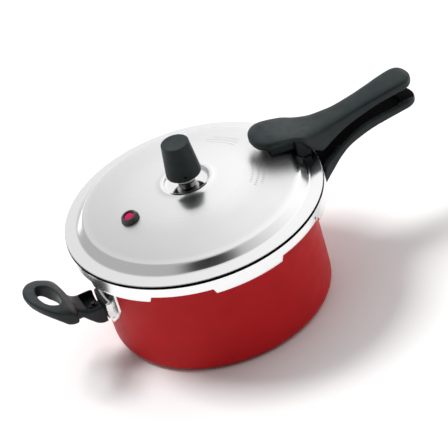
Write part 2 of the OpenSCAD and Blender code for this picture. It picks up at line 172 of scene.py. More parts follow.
def lathe(radius: Array, height: Array, bearing: Array,
          finish: Array | None = None) -> Surface:
    """A closed half-section turned about +Z: x = r cos b, y = r sin b, z = height.

    Args:
        radius: (k, n) or (k, 1) radii, whose last row joins the first.
        height: (k, n) or (k, 1) heights.
        bearing: (n,) bearings in degrees over one turn.
        finish: (k, n) finish numbers, or None for 0.

    Returns:
        The surface.
    """
    b = np.radians(bearing)[None]
    r, z = np.broadcast_arrays(radius, height)
    k, n = r.shape[0], len(bearing)
    r, z = np.broadcast_to(r, (k, n)), np.broadcast_to(z, (k, n))
    pts = np.stack([r * np.cos(b), r * np.sin(b), z], -1)
    kinds = np.zeros((k, n), int) if finish is None else np.broadcast_to(finish, (k, n))
    return pts.reshape(-1, 3), quads(k, n, True, True)[:, ::-1], kinds.reshape(-1)


def turned(line: Array, steps: int = 128, finish: Array | None = None) -> Surface:
    """A plain lathe of one closed line, with no change round the turn."""
    kinds = None if finish is None else finish[:, None]
    return lathe(line[:, :1], line[:, 1:2], np.arange(steps) * 360.0 / steps, kinds)


def around(line: Array, count: int) -> tuple[Array, Array]:
    """The radii and heights of a line, each repeated over so many bearings."""
    return np.repeat(line[:, :1], count, 1), np.repeat(line[:, 1:], count, 1)


def placed(surface: Surface, matrix: Matrix) -> Surface:
    """The surface with its points moved by a 4 x 4 matrix in millimetres."""
    m = np.array(matrix)
    return surface[0] @ m[:3, :3].T + m[:3, 3], surface[1], surface[2]


def capped(sections: Array, flip: bool = True) -> tuple[Array, Array]:
    """Closes a row of ring sections to a point at both ends.

    Args:
        sections: (rows, points, 3) closed rings.
        flip: whether the faces turn the other way.

    Returns:
        The points and the faces.
    """
    steps = sections.shape[1]
    ends = sections[[0, -1]].mean(1, keepdims=True)
    pts = np.concatenate([np.repeat(ends[:1], steps, 1), sections, np.repeat(ends[1:], steps, 1)])
    faces = quads(len(pts), steps, False, True)
    return pts.reshape(-1, 3), faces[:, ::-1] if flip else faces


def loft(x: Array, half_w: Array, low: Array, high: Array, power: float = 2.8,
         crown: float = 0.0, steps: int = 72, pinch: Array | None = None) -> Surface:
    """A bar along X with superellipse sections, closed to a point at both ends.

    At each x the section is y = w c^(2/p), z = mid + h s^(2/p) with (c, s) round the circle, and
    the top is raised by crown (1 - (y/w)^2). A pinch narrows the sides near one height.

    Args:
        x: stations.
        half_w: half-width at each station.
        low: underside height at each station.
        high: top height at each station.
        power: squareness of the section; 2 is an ellipse.
        crown: extra rise of the middle of the top.
        steps: points round the section.
        pinch: (stations, 3) depth, height and spread of a groove along the sides.

    Returns:
        The surface.
    """
    t = np.linspace(0, 2 * np.pi, steps, endpoint=False)[None]
    c = np.sign(np.cos(t)) * np.abs(np.cos(t)) ** (2 / power)
    s = np.sign(np.sin(t)) * np.abs(np.sin(t)) ** (2 / power)
    w, lo, hi = half_w[:, None], low[:, None], high[:, None]
    y = w * c
    z = (lo + hi) / 2 + (hi - lo) / 2 * s + crown * np.clip(s, 0, 1) * (1 - c**2)
    if pinch is not None:
        depth, at, spread = pinch[:, 0:1], pinch[:, 1:2], pinch[:, 2:3]
        y = y - np.sign(y) * np.minimum(depth * np.exp(-((z - at) / spread) ** 2), np.abs(y) * 0.5)
    pts, faces = capped(np.stack(np.broadcast_arrays(x[:, None], y, z), -1))
    return pts, faces, np.zeros(len(faces), int)


def block(low: Point, high: Point, power: float = 8.0) -> Surface:
    """A block with softly rounded edges, used as a cutter or a boss.

    Args:
        low: its lowest corner.
        high: its highest corner.
        power: squareness of its section.

    Returns:
        The surface.
    """
    x = np.linspace(low[0], high[0], 12)
    one = np.ones_like(x)
    mid_y = (low[1] + high[1]) / 2
    half = one * (high[1] - low[1]) / 2
    pts, faces, kinds = loft(x, half, one * low[2], one * high[2], power, steps=64)
    return pts + np.array([0, mid_y, 0]), faces, kinds


def rod(radius: float, z0: float, z1: float, steps: int = 48) -> Surface:
    """A plain round bar along Z from z0 to z1, closed at both ends."""
    line = np.array([[0, z0], [radius, z0], [radius, z1], [0, z1]], float)
    return turned(line, steps)


def end_law(x: Array, start: float, end: float, reach_start: float,
            reach_end: float) -> Array:
    """Falls from 1 to 0 at each end as a quarter ellipse: sqrt(1 - (1 - d/reach)^2).

    Args:
        x: stations.
        start: the first end, where d is x - start.
        end: the last end, where d is end - x.
        reach_start: length of the fall at the first end.
        reach_end: length of the fall at the last end.

    Returns:
        The share at each station.
    """
    a = np.clip((x - start) / reach_start, 0, 1)
    b = np.clip((end - x) / reach_end, 0, 1)
    return np.sqrt(np.clip(1 - (1 - a) ** 2, 0, 1)) * np.sqrt(np.clip(1 - (1 - b) ** 2, 0, 1))


def tapered(low: Array, high: Array, share: Array) -> tuple[Array, Array]:
    """Draws an underside and a top towards their middle: mid + (h - mid) share."""
    mid = (high + low) / 2
    return mid + (low - mid) * share, mid + (high - mid) * share


def stations(start: float, end: float, count: int) -> Array:
    """Positions from start to end that crowd together at both ends, as a cosine does."""
    return start + (end - start) * (1 - np.cos(np.linspace(0.01, np.pi - 0.01, count))) / 2


# ------------------------------------------------------------------ meshes


def make_object(name: str, surfaces: list[Surface], merge: float = 1e-6) -> bpy.types.Object:
    """Puts surfaces into one mesh in metres, with doubled points merged so that seams close.

    Args:
        name: the object's name.
        surfaces: the surfaces to join.
        merge: points nearer than this, in metres, become one.

    Returns:
        The new object, linked to the scene.
    """
    mesh = bpy.data.meshes.new(name)
    base = np.cumsum([0] + [len(s[0]) for s in surfaces[:-1]])
    pts = np.vstack([s[0] for s in surfaces]) * MM
    faces = np.vstack([s[1] + b for s, b in zip(surfaces, base)])
    kinds = np.concatenate([s[2] for s in surfaces])
    mesh.vertices.add(len(pts))
    mesh.vertices.foreach_set("co", pts.astype(np.float32).ravel())
    mesh.loops.add(faces.size)
    mesh.loops.foreach_set("vertex_index", faces.astype(np.int32).ravel())
    mesh.polygons.add(len(faces))
    mesh.polygons.foreach_set("loop_start", np.arange(0, faces.size, 4, dtype=np.int32))
    mesh.polygons.foreach_set("material_index", kinds.astype(np.int32))
    mesh.update(calc_edges=True)
    bm = bmesh.new()
    bm.from_mesh(mesh)
    bmesh.ops.remove_doubles(bm, verts=bm.verts, dist=merge)
    bmesh.ops.dissolve_degenerate(bm, dist=merge * 0.5, edges=bm.edges)
    bmesh.ops.recalc_face_normals(bm, faces=bm.faces)
    bm.to_mesh(mesh)
    bm.free()
    obj = bpy.data.objects.new(name, mesh)
    bpy.context.scene.collection.objects.link(obj)
    return obj


def shade(obj: bpy.types.Object, sharp_deg: float = 32.0) -> None:
    """Shades the piece smooth, with edges sharper than an angle kept crisp."""
    obj.data.polygons.foreach_set("use_smooth", np.ones(len(obj.data.polygons), bool))
    obj.data.set_sharp_from_angle(angle=math.radians(sharp_deg))


def moulded(name: str, solids: list[Surface], cuts: list[Surface], voxel: float,
            smooth: int = 4) -> bpy.types.Object:
    """One moulding from overlapping solids: their union is remeshed, cut, remeshed again and eased.

    Args:
        name: the object's name.
        solids: closed surfaces that overlap.
        cuts: closed surfaces to take away.
        voxel: the remesh's step in millimetres.
        smooth: passes that ease the edges.

    Returns:
        The finished object, with no live modifiers.
    """
    obj = make_object(name, solids)
    cutters = [make_object(f"{name}_cut_{i}", [c]) for i, c in enumerate(cuts)]
    first = obj.modifiers.new("union", "REMESH")
    first.mode, first.voxel_size = "VOXEL", voxel * MM
    for cutter in cutters:
        cut = obj.modifiers.new("cut", "BOOLEAN")
        cut.operation, cut.object, cut.solver = "DIFFERENCE", cutter, "EXACT"
    if cutters:
        again = obj.modifiers.new("again", "REMESH")
        again.mode, again.voxel_size = "VOXEL", voxel * MM
    ease = obj.modifiers.new("ease", "SMOOTH")
    ease.factor, ease.iterations = 0.5, smooth
    bpy.context.view_layer.update()
    mesh = bpy.data.meshes.new_from_object(obj.evaluated_get(bpy.context.evaluated_depsgraph_get()))
    obj.modifiers.clear()
    obj.data = mesh
    for cutter in cutters:
        bpy.data.objects.remove(cutter)
    obj.data.polygons.foreach_set("use_smooth", np.ones(len(mesh.polygons), bool))
    return obj


# ------------------------------------------------------------------ finishes


class Nodes:
    """Short ways to add the nodes that the finishes share."""

    def __init__(self, name: str) -> None:
        """Starts an empty material with its shader and output.

        Args:
            name: the material's name.
        """
        self.material = bpy.data.materials.new(name)
        self.material.use_nodes = True
        self.tree = self.material.node_tree
        self.tree.nodes.clear()
        self.shader = self.tree.nodes.new("ShaderNodeBsdfPrincipled")
        out = self.tree.nodes.new("ShaderNodeOutputMaterial")
        self.tree.links.new(self.shader.outputs[0], out.inputs[0])
        self.place = self.tree.nodes.new("ShaderNodeTexCoord").outputs["Object"]

    def link(self, source: Socket, target: Socket) -> None:
        """Joins one socket to another."""
        self.tree.links.new(source, target)

    def noise(self, scale: float, detail: float = 3.0) -> Socket:
        """Noise on the object's own coordinates.

        Args:
            scale: cycles a metre.
            detail: octaves.

        Returns:
            The noise, about 0.3 to 0.7.
        """
        node = self.tree.nodes.new("ShaderNodeTexNoise")
        node.inputs["Scale"].default_value = scale
        node.inputs["Detail"].default_value = detail
        self.link(self.place, node.inputs["Vector"])
        return node.outputs["Fac"]

    def spread(self, source: Socket, low: float, high: float,
               start: float = 0.3, end: float = 0.7) -> Socket:
        """Maps start..end of a value onto low..high, and holds it there beyond both.

        Args:
            source: the value.
            low: the result at start.
            high: the result at end.
            start: where the change begins.
            end: where it ends.

        Returns:
            The result.
        """
        node = self.tree.nodes.new("ShaderNodeMapRange")
        keys = ("From Min", "From Max", "To Min", "To Max")
        for key, value in zip(keys, (start, end, low, high)):
            node.inputs[key].default_value = value
        self.link(source, node.inputs["Value"])
        return node.outputs["Result"]

    def math(self, kind: str, a: Socket | float, b: Socket | float = 0.0) -> Socket:
        """One arithmetic node.

        Args:
            kind: the operation.
            a: the first number or socket.
            b: the second.

        Returns:
            The result.
        """
        node = self.tree.nodes.new("ShaderNodeMath")
        node.operation = kind
        for socket, value in zip(node.inputs, (a, b)):
            if isinstance(value, (int, float)):
                socket.default_value = value
            else:
                self.link(value, socket)
        return node.outputs[0]

    def blend(self, share: Socket, one: Colour, other: Colour) -> Socket:
        """A colour between two colours.

        Args:
            share: 0 for the first colour, 1 for the other.
            one: the first colour.
            other: the other colour.

        Returns:
            The mixed colour.
        """
        node = self.tree.nodes.new("ShaderNodeMix")
        node.data_type = "RGBA"
        node.inputs[6].default_value = (*one, 1.0)
        node.inputs[7].default_value = (*other, 1.0)
        self.link(share, node.inputs[0])
        return node.outputs[2]

    def bump(self, height: Socket, depth_mm: float) -> None:
        """Bumps the shader's normal.

        Args:
            height: the height, from 0 to 1.
            depth_mm: the bump's full depth in millimetres.
        """
        node = self.tree.nodes.new("ShaderNodeBump")
        node.inputs["Strength"].default_value = 1.0
        node.inputs["Distance"].default_value = depth_mm * MM
        self.link(height, node.inputs["Height"])
        self.link(node.outputs[0], self.shader.inputs["Normal"])

    def polar(self) -> tuple[Socket, Socket]:
        """The place on the piece, round the Z axis.

        Returns:
            The distance from the axis in metres, and the bearing in radians.
        """
        parts = self.tree.nodes.new("ShaderNodeSeparateXYZ")
        self.link(self.place, parts.inputs[0])
        x, y = parts.outputs[0], parts.outputs[1]
        square = self.math("ADD", self.math("MULTIPLY", x, x), self.math("MULTIPLY", y, y))
        return self.math("SQRT", square), self.math("ARCTAN2", y, x)

    def band(self, value: Socket, low: float, high: float) -> Socket:
        """1 where a value lies between two limits."""
        above, below = self.math("GREATER_THAN", value, low), self.math("LESS_THAN", value, high)
        return self.math("MULTIPLY", above, below)


def grey(level: float) -> Colour:
    """A grey of one level."""
    return (level, level, level)


@dataclass(frozen=True)
class Finish:
    """A plain finish: colour that drifts a little, roughness that varies, and a fine bump."""

    name: str
    slot: str
    dark: Colour
    light: Colour
    metallic: float
    rough_low: float
    rough_high: float
    grain: float = 700.0
    depth_mm: float = 0.02
    specular: float = 0.5
    colour_drift: float = 25.0  # how much coarser than the grain the colour varies
    rough_drift: float = 8.0  # and the roughness

    def dress(self) -> Nodes:
        """Builds the shared nodes of this finish.

        Returns:
            The nodes, for a finish that adds to them.
        """
        n = Nodes(self.name)
        n.shader.inputs["Metallic"].default_value = self.metallic
        n.shader.inputs["Specular IOR Level"].default_value = self.specular
        share = n.spread(n.noise(self.grain / self.colour_drift), 0, 1)
        n.link(n.blend(share, self.dark, self.light), n.shader.inputs["Base Color"])
        rough = n.spread(n.noise(self.grain / self.rough_drift, 4), self.rough_low, self.rough_high)
        n.link(rough, n.shader.inputs["Roughness"])
        n.bump(n.noise(self.grain, 2), self.depth_mm)
        return n

    def material(self) -> bpy.types.Material:
        """The finished material."""
        return self.dress().material


@dataclass(frozen=True)
class SpunAluminium(Finish):
    """Polished sheet with faint turning lines and arcs of plain stamped dashes."""

    ring_rate: float = 5200.0  # turning lines, in radians a metre
    ring_depth: float = 0.012
    # roughness added from one radius in metres to another: the recess is brighter than the
    # dome, and the skirt is duller
    ramps: tuple[tuple[float, float, float, float], ...] = (
        (0.019, 0.026, -0.10, 0.0), (0.044, 0.070, 0.0, 0.24),
        (0.094, 0.099, 0.0, -0.28), (0.1186, 0.1192, 0.0, 0.10))
    # each arc of dashes: its radius in metres, and its first and last bearing in radians
    arcs: tuple[Point, ...] = (
        (0.0625, 0.42, 0.86), (0.0675, 0.40, 0.90), (0.0725, 0.44, 0.84),
        (0.0590, -0.72, -0.20), (0.0640, -0.76, -0.22), (0.0690, -0.70, -0.26))
    arc_width: float = 0.0021
    dash_rate: float = 150.0
    dash_rough: float = 0.3
    dash_grey: float = 0.50

    def material(self) -> bpy.types.Material:
        """Adds lines round the axis to the roughness, and darker dashes in six arcs.

        Returns:
            The finished material.
        """
        n = self.dress()
        radius, bearing = n.polar()
        wave = n.math("SINE", n.math("MULTIPLY", radius, self.ring_rate))
        rings = n.spread(wave, 0.0, self.ring_depth, -1.0, 1.0)
        rough = n.math("ADD", n.spread(n.noise(60, 3), self.rough_low, self.rough_high), rings)
        for start, end, low, high in self.ramps:
            rough = n.math("ADD", rough, n.spread(radius, low, high, start, end))
        mark: Socket | float = 0.0
        for r0, start, end in self.arcs:
            arc = n.math("MULTIPLY", n.band(radius, r0, r0 + self.arc_width),
                         n.band(bearing, start, end))
            wave = n.math("SINE", n.math("MULTIPLY", bearing, self.dash_rate))
            dash = n.math("GREATER_THAN", wave, 0.1)
            mark = n.math("ADD", mark, n.math("MULTIPLY", arc, dash))
        mark = n.math("MULTIPLY", mark, n.spread(n.noise(420, 2), 0.25, 0.75))
        rough = n.math("ADD", rough, n.math("MULTIPLY", mark, self.dash_rough))
        tint = n.blend(mark, self.light, grey(self.dash_grey))
        n.link(tint, n.shader.inputs["Base Color"])
        n.link(rough, n.shader.inputs["Roughness"])
        return n.material


ALUMINIUM = SpunAluminium("polished_aluminium", "bright_aluminium", grey(0.84), grey(0.89),
                          1.0, 0.17, 0.21, 90.0, 0.002)
ALUMINIUM_PLAIN = Finish("brushed_aluminium", "bright_aluminium", (0.74, 0.74, 0.73),
                         (0.86, 0.86, 0.85), 1.0, 0.22, 0.34, 400.0, 0.01)
# near-black painted shade for the groove under the lid's flange and for the slot at the wall's foot
PAINTED_SHADE_GROOVE = Finish("groove_painted_shade", "bright_aluminium", grey(0.004), grey(0.008),
                0.0, 0.6, 0.8, 700.0, 0.01, 0.1)
RED = Finish("red_coating", "red_coating", (0.50, 0.008, 0.011), (0.56, 0.010, 0.014),
             0.0, 0.42, 0.52, 900.0, 0.01, 0.12)
BLACK = Finish("black_moulding", "black_moulding", (0.011, 0.018, 0.019), (0.017, 0.025, 0.026),
               0.0, 0.40, 0.52, 1500.0, 0.015, 0.28)
# near-black matt painted shade for the top of the pan's handle, where the lid's handle shades it
PAINTED_SHADE_BLACK = Finish("black_moulding_painted_shade", "black_moulding", (0.0015, 0.0018, 0.0018),
                    (0.0025, 0.003, 0.003), 0.0, 0.7, 0.8, 1500.0, 0.01, 0.06)
# near-black: black steel for the brackets and fasteners, and painted shade on the helper plate's pad
# and tab
BLACK_STEEL_AND_SHADE = Finish("blackened_steel_and_painted_shade", "plated_steel", (0.010, 0.010, 0.011),
                     (0.020, 0.020, 0.022), 0.0, 0.4, 0.55, 500.0, 0.01, 0.3)
PLATED_BRASS = Finish("plated_brass", "vent_brass", grey(0.20), grey(0.30),
                      1.0, 0.22, 0.34, 500.0, 0.01)
STEEL = Finish("plated_steel", "plated_steel", (0.50, 0.51, 0.52), (0.66, 0.67, 0.68),
               1.0, 0.26, 0.40, 500.0, 0.01)
BRASS = Finish("vent_brass", "vent_brass", (0.66, 0.50, 0.24), (0.78, 0.62, 0.33),
               1.0, 0.22, 0.36, 500.0, 0.01)
WEIGHT_METAL = Finish("weight_metal", "weight_metal", grey(0.58), grey(0.72),
                      1.0, 0.25, 0.38, 400.0, 0.01)
RUBBER = Finish("grey_rubber", "grey_rubber", (0.030, 0.030, 0.032), (0.048, 0.048, 0.050),
                0.0, 0.6, 0.75, 900.0, 0.03)
SILICONE = Finish("red_silicone", "red_silicone", (0.38, 0.05, 0.045), (0.46, 0.07, 0.06),
                  0.0, 0.5, 0.62, 700.0, 0.02)
COLLAR = Finish("dark_collar", "dark_collar", (0.040, 0.038, 0.040), (0.060, 0.058, 0.060),
                0.0, 0.24, 0.34, 800.0, 0.01, 0.4)
INDICATOR_RED = Finish("indicator_red", "indicator_red", (0.44, 0.012, 0.075),
                       (0.52, 0.016, 0.090), 0.0, 0.4, 0.5, 800.0, 0.01, 0.1)
FLOOR = Finish("studio_floor", "", grey(0.93), grey(0.95), 0.0, 0.7, 0.8, 30.0, 0.0, 0.1)

FINISHES: dict[str, bpy.types.Material] = {}


def finish(kind: Finish) -> bpy.types.Material:
    """The material of a finish, made once.

    Args:
        kind: the finish.

    Returns:
        Its material.
    """
    if kind.name not in FINISHES:
        FINISHES[kind.name] = kind.material()
    return FINISHES[kind.name]


def settle(obj: bpy.types.Object, body: Body, kinds: list[Finish], *nodes: str) -> None:
    """Dresses a piece, fixes it to its body and hides the frame nodes that it stands for.

    Args:
        obj: the finished piece.
        body: the body that it rides on.
        kinds: its finishes, by number.
        nodes: the frame nodes that it replaces.
    """
    for kind in kinds:
        obj.data.materials.append(finish(kind))
    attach(obj, body.value)
    if nodes:
        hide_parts(*nodes)
    LOG.info("%s: %d faces on %s", obj.name, len(obj.data.polygons), body.value)


# ------------------------------------------------------------------ sub-assemblies


def dome_z(radius: Array | float) -> Array | float:
    """Height of the lid's dome: its top less its fall times the radius squared."""
    return DOME_TOP - DOME_FALL * np.square(radius)


def bearings(marks: list[float], base: int = 360, fine: int = 7,
             reach: float = 1.1) -> Array:
    """Bearings over a turn, evenly spread and crowded round some marks.

    Args:
        marks: the bearings to crowd round, in degrees.
        base: bearings in the even spread.
        fine: bearings added at each mark.
        reach: how far to each side of a mark they go.

    Returns:
        The bearings, rising.
    """
    even = np.arange(base) * 360.0 / base
    near = (np.array(marks)[:, None] + np.linspace(-reach, reach, fine)[None]).ravel()
    return np.unique(np.round(np.mod(np.concatenate([even, near]), 360.0), 4))


@dataclass
class Lid:
    """The lid's spun sheet: recess, dome, shoulder, flange, a groove painted near-black as painted
    shade, and stepped skirt.
    """

    outer_r: float = 120.0
    inner_r: float = 118.0
    sheet: float = 2.0
    vent_r: float = 5.0
    recess_r: float = 22.2
    recess_floor: float = 134.824
    dome_start: float = 27.0
    dome_end: float = 96.0
    flange_under: float = 111.0
    skirt_top: float = 106.0
    long_z: float = 96.0
    short_z: float = 101.0
    groove_high: float = 112.8
    groove_low: float = 110.6
    groove_in: float = 118.4
    tab_in: float = 110.0
    skirt_half: float = 16.0
    tab_half: float = 13.0
    slot_mid: float = 343.5
    slot_half: float = 6.5
    slot_r: float = 105.9
    slot_depth: float = 1.1

    def outside(self) -> tuple[Array, Array]:
        """The upper half-section, from the vent hole to the skirt's top.

        Returns:
            The points, and the finish number of each.
        """
        dome_r = np.linspace(self.dome_start, self.dome_end, 24)
        bowl = rounded([(self.vent_r, self.recess_floor, 0), (19.6, self.recess_floor, 2.2),
                        (self.recess_r - 0.7, 138.35, 1.1), (self.recess_r + 1.9, 138.45, 1.6),
                        (self.dome_start, float(dome_z(self.dome_start)), 0)], 8)
        wall = rounded([(self.dome_end, float(dome_z(self.dome_end)), 0), (100.6, 121.7, 4.6),
                        (107.2, 115.2, 1.5), (108.4, 114.75, 0.5), (118.2, 113.45, 0),
                        (119.2, 113.35, 0.5), (119.9, self.groove_high, 0.4),
                        (self.groove_in, self.groove_high - 0.1, 0)], 8, 2.0)
        groove = np.array([[self.groove_in, (self.groove_high + self.groove_low) / 2]])
        skirt = rounded([(self.groove_in, self.groove_low + 0.1, 0),
                         (self.outer_r, self.groove_low, 0.9),
                         (self.outer_r, self.skirt_top, 0)], 6, 2.0)
        dome = np.stack([dome_r, dome_z(dome_r)], 1)
        line = np.vstack([bowl[:-1], dome[:-1], wall, groove, skirt])
        mid = (line[:-1] + line[1:]) / 2
        # the groove's faces take finish 1: near-black painted shade under the flange's edge
        dark = ((mid[:, 1] < self.groove_high + 0.02) & (mid[:, 1] > self.groove_low - 0.55)
                & (mid[:, 0] > self.groove_in - 1.4))
        return line, np.append(dark, False).astype(int)

    def underside(self) -> Array:
        """The sheet's underside, from the skirt's inside back to the vent hole.

        Returns:
            The points.
        """
        dome_r = np.linspace(self.dome_end - 0.4, self.dome_start, 14)
        below = self.recess_floor - self.sheet
        wall = rounded([(self.inner_r - 0.4, self.flange_under, 0), (106.3, 112.8, 1.5),
                        (99.3, 119.9, 4.0),
                        (95.6, float(dome_z(self.dome_end)) - self.sheet, 0)], 6, 3.0)
        bowl = rounded([(24.0, 135.8, 0), (21.0, 135.2, 1.0), (19.0, below, 1.0),
                        (self.vent_r, below, 0)], 5, 4.0)
        dome = np.stack([dome_r, dome_z(dome_r) - self.sheet], 1)
        return np.vstack([wall[:-1], dome, bowl])

    def build(self) -> None:
        """Turns the section, steps the skirt's edge, turns the tabs in and sinks the slot."""
        slot = [self.slot_mid - self.slot_half, self.slot_mid + self.slot_half]
        b = bearings(lug_edges(self.skirt_half) + lug_edges(self.tab_half) + slot)
        top, kinds = self.outside()
        edge = self.short_z - (self.short_z - self.long_z) * lug_window(b, self.skirt_half, 1.3)
        edge = edge[None]
        tab = lug_window(b, self.tab_half, 0.8)[None]
        # the skirt's outside, then its rounded edge, and its inside with the tabs
        down = np.linspace(0.25, 1.0, 4)[:, None]
        r_out = np.repeat([[self.outer_r]], 4, 0) + 0 * edge
        z_out = self.skirt_top + (edge + 0.8 - self.skirt_top) * down
        cut_back = self.outer_r - np.array([0.15, 0.6, 1.4, 1.8])[:, None]
        r_edge = cut_back + 0 * edge
        z_edge = edge + np.array([0.25, 0.0, 0.0, 0.3])[:, None]
        reach = np.array([0.97, 1.0, 1.0, 0.97])[:, None]
        r_tab = self.inner_r - (self.inner_r - self.tab_in) * tab * reach
        z_tab = edge + np.array([0.35, 0.7, 1.6, 1.95])[:, None]
        r_in = np.full((3, len(b)), self.inner_r)
        z_in = np.vstack([edge + 2.0, edge + 6.0, np.full_like(edge, self.flange_under)])
        r_top, z_top = around(top, len(b))
        r_under, z_under = around(self.underside(), len(b))
        # the slot: a trough at the foot of the wall, its faces painted near-black as painted shade
        slot_in = window(b, self.slot_mid, self.slot_half, 0.5)[None]
        slot_in = slot_in * window(r_top, self.slot_r, 1.1, 0.5)
        z_top = z_top - self.slot_depth * slot_in
        radius = np.vstack([r_top, r_out, r_edge, r_tab, r_in, r_under])
        height = np.vstack([z_top, z_out, z_edge, z_tab, z_in, z_under])
        paint = np.zeros(radius.shape, int)
        # finish 1 is the near-black painted shade, in the groove and in the slot
        paint[:len(top)] = kinds[:, None]
        paint[:len(top)][slot_in > 0.6] = 1
        obj = make_object("lid_shell", [lathe(radius, height, b, paint)])
        shade(obj, 40)
        settle(obj, Body.LID, [ALUMINIUM, PAINTED_SHADE_GROOVE], "lid")


@dataclass
class Pan:
    """The pan: a coated outside, a bare inside, a flared rim and six lugs."""

    radius: float = 104.0
    wall: float = 2.8
    floor: float = 4.0
    corner: float = 9.0
    rim_z: float = 105.0
    rim_r: float = 109.0
    lug_half: float = 13.0

    def build(self) -> None:
        """Turns the pan's section, and pushes the rim outwards where the lugs stand."""
        b = bearings(lug_edges(self.lug_half), 300)
        lug = lug_window(b, self.lug_half, 0.8)[None]
        inner = self.radius - self.wall
        outside = rounded([(0, 0.25, 0), (82, 0.25, 0.6), (84, 0, 0.6),
                           (self.radius - 0.3, 0, self.corner), (self.radius, 24, 0),
                           (self.radius, 98.0, 0)], 12, 6.0)
        # the rim's underside, from the wall outwards, between the lugs and at them
        plain = np.array([[104.0, 98.4], [104.1, 98.7], [105.2, 99.6],
                          [107.6, 100.8], [109.0, 101.8], [109.0, 103.0]])
        lugged = np.array([[109.0, 98.4], [115.0, 98.4], [115.5, 98.9],
                           [115.5, 103.4], [115.0, 103.9], [109.4, 104.0]])
        rim_r = plain[:, :1] + (lugged - plain)[:, :1] * lug
        rim_z = plain[:, 1:] + (lugged - plain)[:, 1:] * lug
        inside = rounded([(self.rim_r, 104.2, 0), (self.rim_r, self.rim_z, 0.5),
                          (inner, self.rim_z, 0.7), (inner, 40, 0), (inner, self.floor, 6.0),
                          (0, self.floor, 0)], 8, 6.0)
        (r_out, z_out), (r_in, z_in) = around(outside, len(b)), around(inside, len(b))
        radius, height = np.vstack([r_out, rim_r, r_in]), np.vstack([z_out, rim_z, z_in])
        paint = np.ones(radius.shape, int)
        paint[:len(outside)] = 0
        obj = make_object("pan_shell", [lathe(radius, height, b, paint)])
        shade(obj, 40)
        settle(obj, Body.PAN, [RED, ALUMINIUM_PLAIN], "pan")


@dataclass
class LidHandle:
    """The lid's long handle: a lobe over the dome, a neck, a grip, and a foot on the lid's wall."""

    start: float = 66.5
    end: float = 227.9
    screw_x: float = 132.0
    pinch_depth: float = 1.3
    pinch_spread: float = 1.1
    pinch_up: float = 2.6  # its height over the underside
    pinch_x: float = 98.0  # where it begins to fade out
    pinch_fade: float = 14.0

    def body(self) -> Surface:
        """The handle's bar, with a groove under the lobe's edge.

        Returns:
            The surface.
        """
        x = stations(self.start, self.end, 150)
        w = hermite(x, [66, 78, 88, 98, 108, 116, 126, 138, 152, 170, 190, 206, 216, 229],
                    [19.5, 20.6, 21.6, 22.0, 22.4, 20.8, 18.2, 15.3, 13.3, 12.5, 13.5, 14.7,
                     15.0, 15.0])
        high = hermite(x, [66, 74, 82, 92, 105, 118, 133, 150, 168, 188, 206, 218, 229],
                       [146.2, 147.6, 147.6, 145.6, 141.4, 137.4, 134.9, 134.8, 136.7, 139.3,
                        142.0, 143.2, 143.4])
        low = hermite(x, [66, 92, 103, 108, 112.5, 117, 121.4, 124.5, 138, 152, 171, 190, 209, 229],
                      [139.4, 138.4, 137.0, 132.0, 124.0, 118.0, 114.2, 111.6, 115.8, 121.0,
                       125.8, 130.2, 132.4, 134.0])
        plan = end_law(x, self.start, self.end, 15.0, 13.0)
        side = end_law(x, self.start, self.end, 4.0, 7.5)
        low, high = tapered(low, high, side)
        depth = self.pinch_depth * (1 - smoothstep((x - self.pinch_x) / self.pinch_fade)) * side
        pinch = np.stack([depth, low + self.pinch_up, np.full_like(x, self.pinch_spread)], 1)
        return loft(x, w * plan, low, high, 5.5, 0.6, 112, pinch)

    def build(self) -> None:
        """Joins the bar and its foot, and cuts the screw's counterbore and room for the bracket."""
        foot = block((101.6, -15.8, 113.0), (114.6, 15.8, 136.5), 8.0)
        rib = block((79.0, -12.0, 125.0), (106.0, 12.0, 138.6), 8.0)
        room = block((74.0, -8.4, 108.0), (113.4, 8.4, 131.4), 12.0)
        bore = placed(rod(SCREW_BORE_R, 100.0, 118.4), Matrix.Translation((self.screw_x, 0, 0)))
        # the lid's own outline, which the moulding rests on
        line = np.array([[0, 100], [0, 138.9], [30, 137.4], [60, 132.8], [79, 128.3], [97, 122.9],
                         [101.8, 120.6], [108, 115.2], [118.6, 113.7], [120.4, 112.4],
                         [120.4, 100]], float)
        cuts = [turned(line, 180), room, bore]
        obj = moulded("lid_long_handle", [self.body(), foot, rib], cuts, 0.7)
        settle(obj, Body.LID, [BLACK], "lid_handle")


